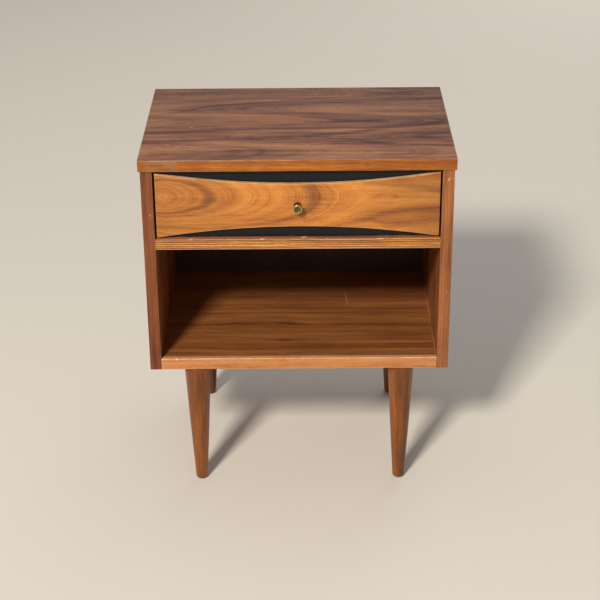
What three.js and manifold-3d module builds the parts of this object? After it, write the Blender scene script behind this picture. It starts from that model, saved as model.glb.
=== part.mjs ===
// Mid-century walnut nightstand: one drawer with a bow-tie face over an open shelf bay, on four
// round tapered legs. Millimetres, +Z up, the front faces -Y, the origin is on the floor under the
// middle of the whole piece.
import * as THREE from 'three';
import { mergeVertices } from 'three/addons/utils/BufferGeometryUtils.js';
import Module from 'manifold-3d';

const wasm = await Module();
wasm.setup();

// Overall sizes
const WIDTH = 508;
const DEPTH = 355.6;
const HEIGHT = 607;
const CASE_BOTTOM = 229;

// Boards of the case
const TOP_THICK = 19.5;
const VENEER = 0.6;
const TOP_OVERHANG = 3;
const TOP_EDGING = 6;
const TOP_END_EDGING = 3;
const SIDE_THICK = 19.05;
const SIDE_EDGING = 6.4;
const DIVIDER_TOP = 468.6;
const DIVIDER_BOTTOM = 450.5;
const DIVIDER_SETBACK = 3.6;
const RAIL_DEPTH = 18.4;
const SHELF_TOP = 249.2;
const SHELF_SETBACK = 3.3;
const SHELF_EDGING = 10;
const SHELF_TONGUE = 14;
const DADO = 6;
const BACK_THICK = 3.2;
const BACK_RABBET = 8;
const BACK_REBATE = 4.2;
const FIT = 0.15;
const GLUE = 0.1;

// Drawer
const DRAWER_HALF = 228.75;
const FACE_SETBACK = 5.8;
const OVERLAY_THICK = 6.35;
const FRONT_THICK = 12.7;
const FRONT_BOTTOM = 470.6;
const FRONT_TOP = 584.5;
const OVERLAY_BOTTOM = 470.8;
const OVERLAY_TOP = 582;
const OVERLAY_DIP = 18.4;
const OVERLAY_CORNER = 3;
const BOX_SIDE = 12;
const BOX_BOTTOM = 468.9;
const BOX_TOP = 566.9;
const BOX_REAR = 330;
const BOX_LAP = 6;
const PANEL_THICK = 4;
const PANEL_Z = 479;
const GROOVE = 6;
const GUIDE_WIDE = 20;
const GUIDE_HIGH = 7;
const GUIDE_RUN = 0.6;
const KICKER_BOTTOM = 568.5;

// Knob and its screw
const KNOB_Z = 526.3;
const KNOB_LENGTH = 18;
const KNOB_BASE_R = 6.3;
const KNOB_WAIST_R = 5.5;
const KNOB_FACE_R = 7.4;
const SCREW_R = 2;
const SCREW_HOLE_R = 2.4;

// Legs
const LEG_X = 173;
const LEG_FRONT = 28;
const LEG_REAR = 330.2;
const LEG_TOP_R = 22.2;
const LEG_FOOT_R = 10.2;
const LEG_CHAMFER = 2.4;
const GLIDE_R = 8;
const GLIDE_HIGH = 2.6;
const GLIDE_PIN_R = 1.4;
const BOLT_R = 3.6;
const INSERT_R = 6.8;
const INSERT_FLANGE_R = 9;
const INSERT_LENGTH = 14;

// Where the front face of the top board lies, so that the knob and the back edge are centred
const KNOB_OUT = KNOB_LENGTH - FACE_SETBACK;
const FRONT = -(DEPTH - KNOB_OUT) / 2;
const CASE_HALF = WIDTH / 2 - TOP_OVERHANG;
const INNER_HALF = CASE_HALF - SIDE_THICK;
const CASE_TOP = HEIGHT - TOP_THICK;
const BOARDS_END = DEPTH - BACK_REBATE;

const root = new THREE.Group();
root.name = 'nightstand';

const COLOURS = {
  top: [0x835f51, 0.5],
  edging: [0xb0682f, 0.45],
  side: [0x97592f, 0.5],
  sideEdge: [0x985636, 0.5],
  shelf: [0x6f3e1e, 0.5],
  shelfEdge: [0xce854d, 0.45],
  rail: [0xc07e41, 0.5],
  drawer: [0xd3833c, 0.4],
  leg: [0x8f5a31, 0.4],
  maple: [0xc9a679, 0.7],
  board: [0x5a3a22, 0.85],
  black: [0x1c2022, 0.6],
};

function wood(tone) {
  return new THREE.MeshStandardMaterial({ color: COLOURS[tone][0], roughness: COLOURS[tone][1], metalness: 0 });
}

function metal(colour, roughness) {
  return new THREE.MeshStandardMaterial({ color: colour, roughness, metalness: 1 });
}

const brass = () => metal(0x9a8450, 0.35);
const steel = () => metal(0x8d9094, 0.4);

function add(name, geometry, material) {
  const mesh = new THREE.Mesh(geometry, material);
  mesh.name = name;
  root.add(mesh);
}

// A box from its low and high corners, with depths counted back from the front of the top board
function block(x0, x1, d0, d1, z0, z1) {
  const geometry = new THREE.BoxGeometry(x1 - x0, d1 - d0, z1 - z0);
  geometry.translate((x0 + x1) / 2, FRONT + (d0 + d1) / 2, (z0 + z1) / 2);
  return geometry;
}

// A strip whose four long edges are eased; along is the axis it runs on
function easedStrip(x0, x1, d0, d1, z0, z1, ease, along) {
  const [w, h, length] = along === 'x' ? [d1 - d0, z1 - z0, x1 - x0] : [x1 - x0, d1 - d0, z1 - z0];
  const shape = new THREE.Shape();
  const a = w / 2;
  const b = h / 2;
  shape.moveTo(-a + ease, -b);
  shape.lineTo(a - ease, -b);
  shape.lineTo(a, -b + ease);
  shape.lineTo(a, b - ease);
  shape.lineTo(a - ease, b);
  shape.lineTo(-a + ease, b);
  shape.lineTo(-a, b - ease);
  shape.lineTo(-a, -b + ease);
  shape.closePath();
  const geometry = new THREE.ExtrudeGeometry(shape, { depth: length, bevelEnabled: false });
  geometry.translate(0, 0, -length / 2);
  if (along === 'x') {
    // profile X becomes depth, profile Y becomes height, and the length runs along X
    geometry.applyMatrix4(new THREE.Matrix4().set(0, 0, 1, 0, 1, 0, 0, 0, 0, 1, 0, 0, 0, 0, 0, 1));
  }
  geometry.translate((x0 + x1) / 2, FRONT + (d0 + d1) / 2, (z0 + z1) / 2);
  return geometry;
}

function toManifold(geometry) {
  let plain = geometry.clone();
  plain.deleteAttribute('normal');
  plain.deleteAttribute('uv');
  plain = mergeVertices(plain, 1e-5);
  return new wasm.Manifold(new wasm.Mesh({
    numProp: 3,
    vertProperties: new Float32Array(plain.attributes.position.array),
    triVerts: new Uint32Array(plain.index.array),
  }));
}

function fromManifold(solid) {
  const mesh = solid.getMesh();
  const geometry = new THREE.BufferGeometry();
  geometry.setAttribute('position', new THREE.BufferAttribute(Float32Array.from(mesh.vertProperties), 3));
  geometry.setIndex(new THREE.BufferAttribute(Uint32Array.from(mesh.triVerts), 1));
  const flat = geometry.toNonIndexed();
  flat.computeVertexNormals();
  return flat;
}

function cut(body, ...tools) {
  let solid = toManifold(body);
  for (const tool of tools) {
    solid = solid.subtract(toManifold(tool));
  }
  return fromManifold(solid);
}

// A turned piece standing on Z: points are [radius, height]
function turned(points, x, depth, z, segments = 56) {
  const geometry = new THREE.LatheGeometry(points.map(([r, h]) => new THREE.Vector2(r, h)), segments);
  geometry.rotateX(Math.PI / 2);
  geometry.translate(x, FRONT + depth, z);
  return geometry;
}

// A turned piece lying along the depth: points are [radius, depth back from the top's front]
function turnedAlongDepth(points, x, z, segments = 48) {
  const profile = points.map(([r, d]) => new THREE.Vector2(r, FRONT + d));
  const geometry = new THREE.LatheGeometry(profile, segments);
  geometry.translate(x, 0, z);
  return geometry;
}

function drill(r, x, depth, z0, z1, segments = 40) {
  const geometry = new THREE.CylinderGeometry(r, r, z1 - z0, segments);
  geometry.rotateX(Math.PI / 2);
  geometry.translate(x, FRONT + depth, (z0 + z1) / 2);
  return geometry;
}

function drillAlongDepth(r, x, z, d0, d1, segments = 40) {
  const geometry = new THREE.CylinderGeometry(r, r, d1 - d0, segments);
  geometry.translate(x, FRONT + (d0 + d1) / 2, z);
  return geometry;
}

const SIDES = [['left', -1], ['right', 1]];

// Low and high x of a piece between two distances from the middle, on one side
function span(sign, near, far) {
  return sign < 0 ? [-far, -near] : [near, far];
}

const LEGS = [];
for (const [side, sign] of SIDES) {
  LEGS.push([`front_${side}`, sign * LEG_X, LEG_FRONT]);
  LEGS.push([`rear_${side}`, sign * LEG_X, LEG_REAR]);
}

// Top board: core, solid edgings, and one sheet of veneer over all of them
const CORE_HALF = WIDTH / 2 - TOP_END_EDGING;
const VENEER_BOTTOM = HEIGHT - VENEER;
add('top_core', block(-CORE_HALF + GLUE, CORE_HALF - GLUE, TOP_EDGING + GLUE, DEPTH, CASE_TOP, VENEER_BOTTOM - GLUE),
  wood('board'));
add('top_veneer', block(-WIDTH / 2, WIDTH / 2, 0, DEPTH, VENEER_BOTTOM, HEIGHT), wood('top'));
add('top_edging_front', block(-WIDTH / 2, WIDTH / 2, 0, TOP_EDGING, CASE_TOP, VENEER_BOTTOM - GLUE), wood('edging'));
for (const [side, sign] of SIDES) {
  const [x0, x1] = span(sign, CORE_HALF, WIDTH / 2);
  add(`top_edging_${side}`, block(x0, x1, TOP_EDGING + GLUE, DEPTH, CASE_TOP, VENEER_BOTTOM - GLUE),
    wood('edging'));
}

// Side panels: dado for the divider, rabbet for the shelf board's tongue, rebate for the back
const EDGING_END = TOP_OVERHANG + SIDE_EDGING;
const RAIL_END = DIVIDER_SETBACK + RAIL_DEPTH;
const SHELF_BOARD_START = SHELF_SETBACK + SHELF_EDGING;
for (const [side, sign] of SIDES) {
  const [x0, x1] = span(sign, INNER_HALF, CASE_HALF);
  const [dx0, dx1] = span(sign, INNER_HALF - 1, INNER_HALF + DADO);
  const [bx0, bx1] = span(sign, INNER_HALF - 1, INNER_HALF + BACK_RABBET);
  const panel = cut(
    block(x0, x1, EDGING_END + GLUE, DEPTH, CASE_BOTTOM, CASE_TOP - GLUE),
    block(dx0, dx1, RAIL_END, BOARDS_END + 1, DIVIDER_BOTTOM, DIVIDER_TOP),
    block(dx0, dx1, SHELF_BOARD_START, BOARDS_END + 1, CASE_BOTTOM - 1, CASE_BOTTOM + SHELF_TONGUE + FIT),
    block(bx0, bx1, BOARDS_END, DEPTH + 1, CASE_BOTTOM - 1, CASE_TOP + 1),
  );
  add(`side_${side}`, panel, wood('side'));
  add(
    `side_edging_${side}`,
    easedStrip(x0, x1, TOP_OVERHANG, EDGING_END, CASE_BOTTOM, CASE_TOP - GLUE, 0.6, 'z'),
    wood('sideEdge'),
  );
}

// Divider under the drawer: a solid rail in front of a plain board let into the sides
const LET_IN = INNER_HALF + DADO - FIT;
add('divider_board', block(-LET_IN, LET_IN, RAIL_END + FIT, BOARDS_END - FIT, DIVIDER_BOTTOM + FIT, DIVIDER_TOP - FIT),
  wood('maple'));
add('divider_rail', easedStrip(-INNER_HALF + FIT, INNER_HALF - FIT, DIVIDER_SETBACK, RAIL_END, DIVIDER_BOTTOM,
  DIVIDER_TOP, 0.8, 'x'), wood('rail'));

// Bottom shelf: a veneered board with a tongue at each end, bored for the leg fittings, and a solid
// front edging
const board = block(-LET_IN, LET_IN, SHELF_BOARD_START + FIT, BOARDS_END - FIT, CASE_BOTTOM, SHELF_TOP - FIT);
const insertHoles = [];
for (const [, x, depth] of LEGS) {
  insertHoles.push(drill(INSERT_R + 0.3, x, depth, CASE_BOTTOM - 1, CASE_BOTTOM + INSERT_LENGTH + 1.6));
  insertHoles.push(drill(INSERT_FLANGE_R + 0.3, x, depth, CASE_BOTTOM - 1, CASE_BOTTOM + 2));
}
const shoulders = [];
for (const [, sign] of SIDES) {
  const [x0, x1] = span(sign, INNER_HALF - FIT, LET_IN + 1);
  shoulders.push(block(x0, x1, SHELF_BOARD_START - 1, BOARDS_END + 1, CASE_BOTTOM + SHELF_TONGUE, SHELF_TOP + 1));
}
add('shelf_board', cut(board, ...shoulders, ...insertHoles), wood('shelf'));
add('shelf_edging', easedStrip(-INNER_HALF + FIT, INNER_HALF - FIT, SHELF_SETBACK, SHELF_BOARD_START, CASE_BOTTOM,
  SHELF_TOP, 0.8, 'x'), wood('shelfEdge'));

// Hardboard back in the rebates of the sides
const BACK_HALF = INNER_HALF + BACK_RABBET - 0.5;
const BACK_START = BOARDS_END + 0.1;
add('back_panel', block(-BACK_HALF, BACK_HALF, BACK_START, BACK_START + BACK_THICK, CASE_BOTTOM + 3, CASE_TOP - 0.5),
  wood('board'));

// Drawer running parts fixed in the case
add('drawer_guide_rail', block(-GUIDE_WIDE / 2, GUIDE_WIDE / 2, 30, BOX_REAR, DIVIDER_TOP, DIVIDER_TOP + GUIDE_HIGH),
  wood('maple'));
add('drawer_kicker', block(-20, 20, 40, BOX_REAR, KICKER_BOTTOM, CASE_TOP - GLUE), wood('maple'));
for (const [side, sign] of SIDES) {
  const [x0, x1] = span(sign, DRAWER_HALF - 22, DRAWER_HALF);
  add(`drawer_stop_${side}`, block(x0, x1, BOX_REAR + 0.6, BOX_REAR + 12.6, DIVIDER_TOP, DIVIDER_TOP + 14),
    wood('maple'));
}

// Drawer front board, painted, with laps for the sides, a groove for the bottom and the screw hole
const OVERLAY_BACK = FACE_SETBACK + OVERLAY_THICK;
const FRONT_BACK = OVERLAY_BACK + FRONT_THICK;
const SIDE_INNER = DRAWER_HALF - BOX_SIDE;
const frontCuts = [
  block(-SIDE_INNER - 1, SIDE_INNER + 1, FRONT_BACK - GROOVE, FRONT_BACK + 1, PANEL_Z - 0.1, PANEL_Z + PANEL_THICK + 0.1),
  drillAlongDepth(SCREW_HOLE_R, 0, KNOB_Z, FACE_SETBACK, FRONT_BACK + 1),
];
for (const [, sign] of SIDES) {
  const [x0, x1] = span(sign, SIDE_INNER, DRAWER_HALF + 1);
  frontCuts.push(block(x0, x1, FRONT_BACK - BOX_LAP, FRONT_BACK + 1, FRONT_BOTTOM - 1, FRONT_TOP + 1));
}
add('drawer_front', cut(block(-DRAWER_HALF, DRAWER_HALF, OVERLAY_BACK, FRONT_BACK, FRONT_BOTTOM, FRONT_TOP),
  ...frontCuts), wood('black'));

// Bow-tie face: both long edges dip to the middle on one circle each, the corners are softened
const ARC_R = (DRAWER_HALF ** 2 + OVERLAY_DIP ** 2) / (2 * OVERLAY_DIP);
const ARC_STEPS = 56;
const outline = new THREE.Shape();
const dipAt = (x) => OVERLAY_DIP - (ARC_R - Math.sqrt(ARC_R ** 2 - x ** 2));
const reach = DRAWER_HALF - OVERLAY_CORNER;
outline.moveTo(-DRAWER_HALF, OVERLAY_BOTTOM + OVERLAY_CORNER);
for (let i = 0; i <= ARC_STEPS; i += 1) {
  const x = -reach + (2 * reach * i) / ARC_STEPS;
  outline.lineTo(x, OVERLAY_BOTTOM + dipAt(x));
}
outline.lineTo(DRAWER_HALF, OVERLAY_BOTTOM + OVERLAY_CORNER);
outline.lineTo(DRAWER_HALF, OVERLAY_TOP - 1);
for (let i = 0; i <= ARC_STEPS; i += 1) {
  const x = reach + 2 - (2 * (reach + 2) * i) / ARC_STEPS;
  outline.lineTo(x, OVERLAY_TOP - dipAt(x));
}
outline.lineTo(-DRAWER_HALF, OVERLAY_TOP - 1);
outline.closePath();
const overlay = new THREE.ExtrudeGeometry(outline, {
  depth: OVERLAY_THICK - 1.2,
  bevelEnabled: true,
  bevelThickness: 0.6,
  bevelSize: 0.6,
  bevelOffset: -0.6,
  bevelSegments: 2,
});
overlay.rotateX(Math.PI / 2);
overlay.translate(0, FRONT + OVERLAY_BACK - 0.6, 0);
add('drawer_overlay', cut(overlay, drillAlongDepth(SCREW_HOLE_R, 0, KNOB_Z, 0, OVERLAY_BACK + 1)), wood('drawer'));

// Drawer box
const SIDE_START = FRONT_BACK - BOX_LAP + 0.1;
for (const [side, sign] of SIDES) {
  const [x0, x1] = span(sign, SIDE_INNER + 0.1, DRAWER_HALF);
  const [gx0, gx1] = span(sign, SIDE_INNER - 1, SIDE_INNER + GROOVE);
  const wall = cut(
    block(x0, x1, SIDE_START, BOX_REAR, BOX_BOTTOM, BOX_TOP),
    block(gx0, gx1, SIDE_START - 1, BOX_REAR + 1, PANEL_Z - 0.1, PANEL_Z + PANEL_THICK + 0.1),
  );
  add(`drawer_side_${side}`, wall, wood('maple'));
}
const BACK_WALL = BOX_REAR - 18;
add('drawer_back', block(-SIDE_INNER, SIDE_INNER, BACK_WALL, BACK_WALL + BOX_SIDE, PANEL_Z + PANEL_THICK + 0.1, BOX_TOP),
  wood('maple'));
const PANEL_HALF = SIDE_INNER + GROOVE - 0.5;
add('drawer_bottom', block(-PANEL_HALF, PANEL_HALF, FRONT_BACK - GROOVE + 0.5, BOX_REAR - 0.5, PANEL_Z,
  PANEL_Z + PANEL_THICK), wood('maple'));
const NOTCH_HALF = GUIDE_WIDE / 2 + GUIDE_RUN;
add('drawer_rear_guide', cut(
  block(-28, 28, BOX_REAR - 24, BOX_REAR - 0.5, DIVIDER_TOP + 0.6, PANEL_Z),
  block(-NOTCH_HALF, NOTCH_HALF, BOX_REAR - 25, BOX_REAR + 1, DIVIDER_TOP - 1, DIVIDER_TOP + GUIDE_HIGH + 0.6),
), wood('maple'));

// Brass knob, dished in its face and bored for the screw
const KNOB_FACE = FACE_SETBACK - KNOB_LENGTH;
const KNOB_BORE = FACE_SETBACK - 12;
add('knob', turnedAlongDepth([
  [0, KNOB_FACE + 0.7],
  [4.4, KNOB_FACE + 0.7],
  [5.4, KNOB_FACE + 0.2],
  [6.4, KNOB_FACE],
  [7.0, KNOB_FACE + 0.15],
  [KNOB_FACE_R, KNOB_FACE + 0.7],
  [KNOB_FACE_R, KNOB_FACE + 3.2],
  [7.1, KNOB_FACE + 4.4],
  [6.2, KNOB_FACE + 6.4],
  [5.7, KNOB_FACE + 9],
  [KNOB_WAIST_R, KNOB_FACE + 12],
  [5.6, KNOB_FACE + 15.4],
  [KNOB_BASE_R, KNOB_FACE + 16.6],
  [KNOB_BASE_R, FACE_SETBACK],
  [SCREW_HOLE_R, FACE_SETBACK],
  [SCREW_HOLE_R, KNOB_BORE],
  [0, KNOB_BORE],
], 0, KNOB_Z), brass());
const WASHER_END = FRONT_BACK + 0.8;
add('knob_washer', turnedAlongDepth([
  [SCREW_HOLE_R, FRONT_BACK],
  [5, FRONT_BACK],
  [5, WASHER_END],
  [SCREW_HOLE_R, WASHER_END],
  [SCREW_HOLE_R, FRONT_BACK],
], 0, KNOB_Z), steel());
add('knob_screw', turnedAlongDepth([
  [0, KNOB_BORE + 1],
  [SCREW_R - 0.5, KNOB_BORE + 1],
  [SCREW_R, KNOB_BORE + 1.6],
  [SCREW_R, WASHER_END],
  [4, WASHER_END],
  [4, WASHER_END + 1.2],
  [3.2, WASHER_END + 2.1],
  [1.8, WASHER_END + 2.5],
  [0, WASHER_END + 2.6],
], 0, KNOB_Z), steel());

// Legs, each with a threaded insert in the shelf board, a hanger bolt and a nail-on glide
const FOOT = GLIDE_HIGH;
const BOLT_DEEP = 36;
const PIN_DEEP = 14;
for (const [place, x, depth] of LEGS) {
  add(`leg_${place}`, turned([
    [0, FOOT + PIN_DEEP + 1],
    [GLIDE_PIN_R + 0.3, FOOT + PIN_DEEP + 1],
    [GLIDE_PIN_R + 0.3, FOOT],
    [LEG_FOOT_R - 1.6, FOOT],
    [LEG_FOOT_R - 0.5, FOOT + 0.5],
    [LEG_FOOT_R, FOOT + 1.6],
    [LEG_TOP_R, CASE_BOTTOM - LEG_CHAMFER],
    [LEG_TOP_R - 0.7, CASE_BOTTOM - 0.7],
    [LEG_TOP_R - LEG_CHAMFER, CASE_BOTTOM],
    [BOLT_R + 0.3, CASE_BOTTOM],
    [BOLT_R + 0.3, CASE_BOTTOM - BOLT_DEEP - 2],
    [0, CASE_BOTTOM - BOLT_DEEP - 2],
  ], x, depth, 0, 64), wood('leg'));
  add(`leg_glide_${place}`, turned([
    [0, 0],
    [GLIDE_R - 2, 0],
    [GLIDE_R - 0.6, 0.5],
    [GLIDE_R, 1.4],
    [GLIDE_R, FOOT],
    [GLIDE_PIN_R, FOOT],
    [GLIDE_PIN_R, FOOT + PIN_DEEP - 3],
    [0, FOOT + PIN_DEEP],
  ], x, depth, 0, 48), steel());
  add(`leg_bolt_${place}`, turned([
    [0, CASE_BOTTOM - BOLT_DEEP],
    [1.2, CASE_BOTTOM - BOLT_DEEP + 2],
    [BOLT_R, CASE_BOTTOM - BOLT_DEEP + 8],
    [BOLT_R, CASE_BOTTOM - 6],
    [BOLT_R - 0.5, CASE_BOTTOM - 5],
    [BOLT_R - 0.5, CASE_BOTTOM - 2],
    [BOLT_R, CASE_BOTTOM - 1],
    [BOLT_R, CASE_BOTTOM + INSERT_LENGTH - 2],
    [BOLT_R - 0.7, CASE_BOTTOM + INSERT_LENGTH - 1],
    [0, CASE_BOTTOM + INSERT_LENGTH - 1],
  ], x, depth, 0, 40), steel());
  add(`leg_insert_${place}`, turned([
    [BOLT_R + 0.2, CASE_BOTTOM + 0.2],
    [INSERT_FLANGE_R, CASE_BOTTOM + 0.2],
    [INSERT_FLANGE_R, CASE_BOTTOM + 1.7],
    [INSERT_R, CASE_BOTTOM + 1.7],
    [INSERT_R, CASE_BOTTOM + INSERT_LENGTH],
    [BOLT_R + 0.2, CASE_BOTTOM + INSERT_LENGTH],
    [BOLT_R + 0.2, CASE_BOTTOM + 0.2],
  ], x, depth, 0, 40), steel());
}

export default root;
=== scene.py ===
import math

import bpy
from mathutils import Euler, Matrix, Vector


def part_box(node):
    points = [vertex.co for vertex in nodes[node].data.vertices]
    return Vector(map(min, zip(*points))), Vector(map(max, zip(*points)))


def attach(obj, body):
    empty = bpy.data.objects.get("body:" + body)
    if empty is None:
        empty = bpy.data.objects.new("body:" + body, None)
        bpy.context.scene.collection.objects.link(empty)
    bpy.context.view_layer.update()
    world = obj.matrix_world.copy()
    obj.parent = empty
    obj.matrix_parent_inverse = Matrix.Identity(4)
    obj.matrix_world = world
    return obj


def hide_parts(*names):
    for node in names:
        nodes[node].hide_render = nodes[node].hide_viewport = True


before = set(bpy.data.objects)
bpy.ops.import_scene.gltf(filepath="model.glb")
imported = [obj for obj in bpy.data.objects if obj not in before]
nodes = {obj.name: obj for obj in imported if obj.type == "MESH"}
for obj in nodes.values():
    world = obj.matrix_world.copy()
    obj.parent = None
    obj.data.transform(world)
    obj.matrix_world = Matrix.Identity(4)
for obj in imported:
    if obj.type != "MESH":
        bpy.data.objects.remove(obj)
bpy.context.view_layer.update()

MM = 0.001
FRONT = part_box("top_veneer")[0].y


# ---------------------------------------------------------------- shaping helpers

def set_mode(mode):
    bpy.ops.object.mode_set(mode=mode)


def clear_selection():
    if bpy.context.object and bpy.context.object.mode != "OBJECT":
        set_mode("OBJECT")
    bpy.ops.object.select_all(action="DESELECT")


def pick_alone(piece):
    clear_selection()
    piece.select_set(True)
    bpy.context.view_layer.objects.active = piece


def set_in_place(piece):
    """The piece keeps its shape, and its object goes to the origin."""
    pick_alone(piece)
    bpy.ops.object.transform_apply(location=True, rotation=True, scale=True)


def block(name, low, high):
    """A squared blank between two corners, ready to be worked."""
    clear_selection()
    low, high = Vector(low), Vector(high)
    bpy.ops.mesh.primitive_cube_add(size=1, location=(low + high) / 2)
    piece = bpy.context.object
    piece.name = name
    piece.data.name = name
    piece.scale = high - low
    set_in_place(piece)
    return piece


def pick_edges(piece, test):
    """Goes into edit mode with only the edges selected whose two ends pass the test."""
    bpy.context.view_layer.objects.active = piece
    set_mode("EDIT")
    bpy.ops.mesh.select_mode(type="EDGE")
    bpy.ops.mesh.select_all(action="DESELECT")
    set_mode("OBJECT")
    places = [vertex.co for vertex in piece.data.vertices]
    for edge in piece.data.edges:
        edge.select = bool(test(places[edge.vertices[0]], places[edge.vertices[1]]))
    set_mode("EDIT")


def ease(piece, width, segments=3, test=lambda a, b: True):
    """Rounds over the edges that pass the test."""
    pick_edges(piece, test)
    bpy.ops.mesh.bevel(offset=width, segments=segments, affect="EDGES", profile=0.5)
    set_mode("OBJECT")


def smooth(piece, degrees=35):
    pick_alone(piece)
    bpy.ops.object.shade_smooth_by_angle(angle=math.radians(degrees))


def recalculate(piece):
    clear_selection()
    bpy.context.view_layer.objects.active = piece
    set_mode("EDIT")
    bpy.ops.mesh.select_all(action="SELECT")
    bpy.ops.mesh.normals_make_consistent(inside=False)
    set_mode("OBJECT")


def turned(name, rings, sides=96):
    """A turned piece on the Z axis: a disc drawn out ring by ring, each ring (radius, height)."""
    clear_selection()
    radius, height = rings[0]
    bpy.ops.mesh.primitive_circle_add(vertices=sides, radius=radius, fill_type="NGON", location=(0, 0, height))
    piece = bpy.context.object
    piece.name = name
    piece.data.name = name
    set_in_place(piece)
    set_mode("EDIT")
    bpy.ops.mesh.select_mode(type="FACE")
    bpy.ops.mesh.select_all(action="SELECT")
    for (r0, z0), (r1, z1) in zip(rings, rings[1:]):
        bpy.ops.mesh.extrude_region_move(TRANSFORM_OT_translate={"value": (0, 0, z1 - z0)})
        bpy.ops.transform.resize(value=(r1 / r0, r1 / r0, 1), center_override=(0, 0, z1))
    set_mode("OBJECT")
    recalculate(piece)
    return piece


def copy_of(piece, name, shift):
    """A copy with a mesh of its own, moved by shift."""
    twin = piece.copy()
    twin.data = piece.data.copy()
    twin.name = name
    twin.data.name = name
    bpy.context.scene.collection.objects.link(twin)
    twin.location = shift
    set_in_place(twin)
    return twin


def cut_with(piece, tool):
    """Takes the tool's shape out of the piece and throws the tool away."""
    clear_selection()
    bpy.context.view_layer.objects.active = piece
    saw = piece.modifiers.new("cut", "BOOLEAN")
    saw.operation = "DIFFERENCE"
    saw.solver = "EXACT"
    saw.object = tool
    bpy.ops.object.modifier_apply(modifier=saw.name)
    bpy.data.objects.remove(tool)


def fit(piece, body, slot, material, *replaced):
    """Gives a finished piece its material, its body and the solid it stands for."""
    piece.data.materials.clear()
    piece.data.materials.append(material)
    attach(piece, body)
    if replaced:
        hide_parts(*replaced)


# ---------------------------------------------------------------- material helpers

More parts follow.
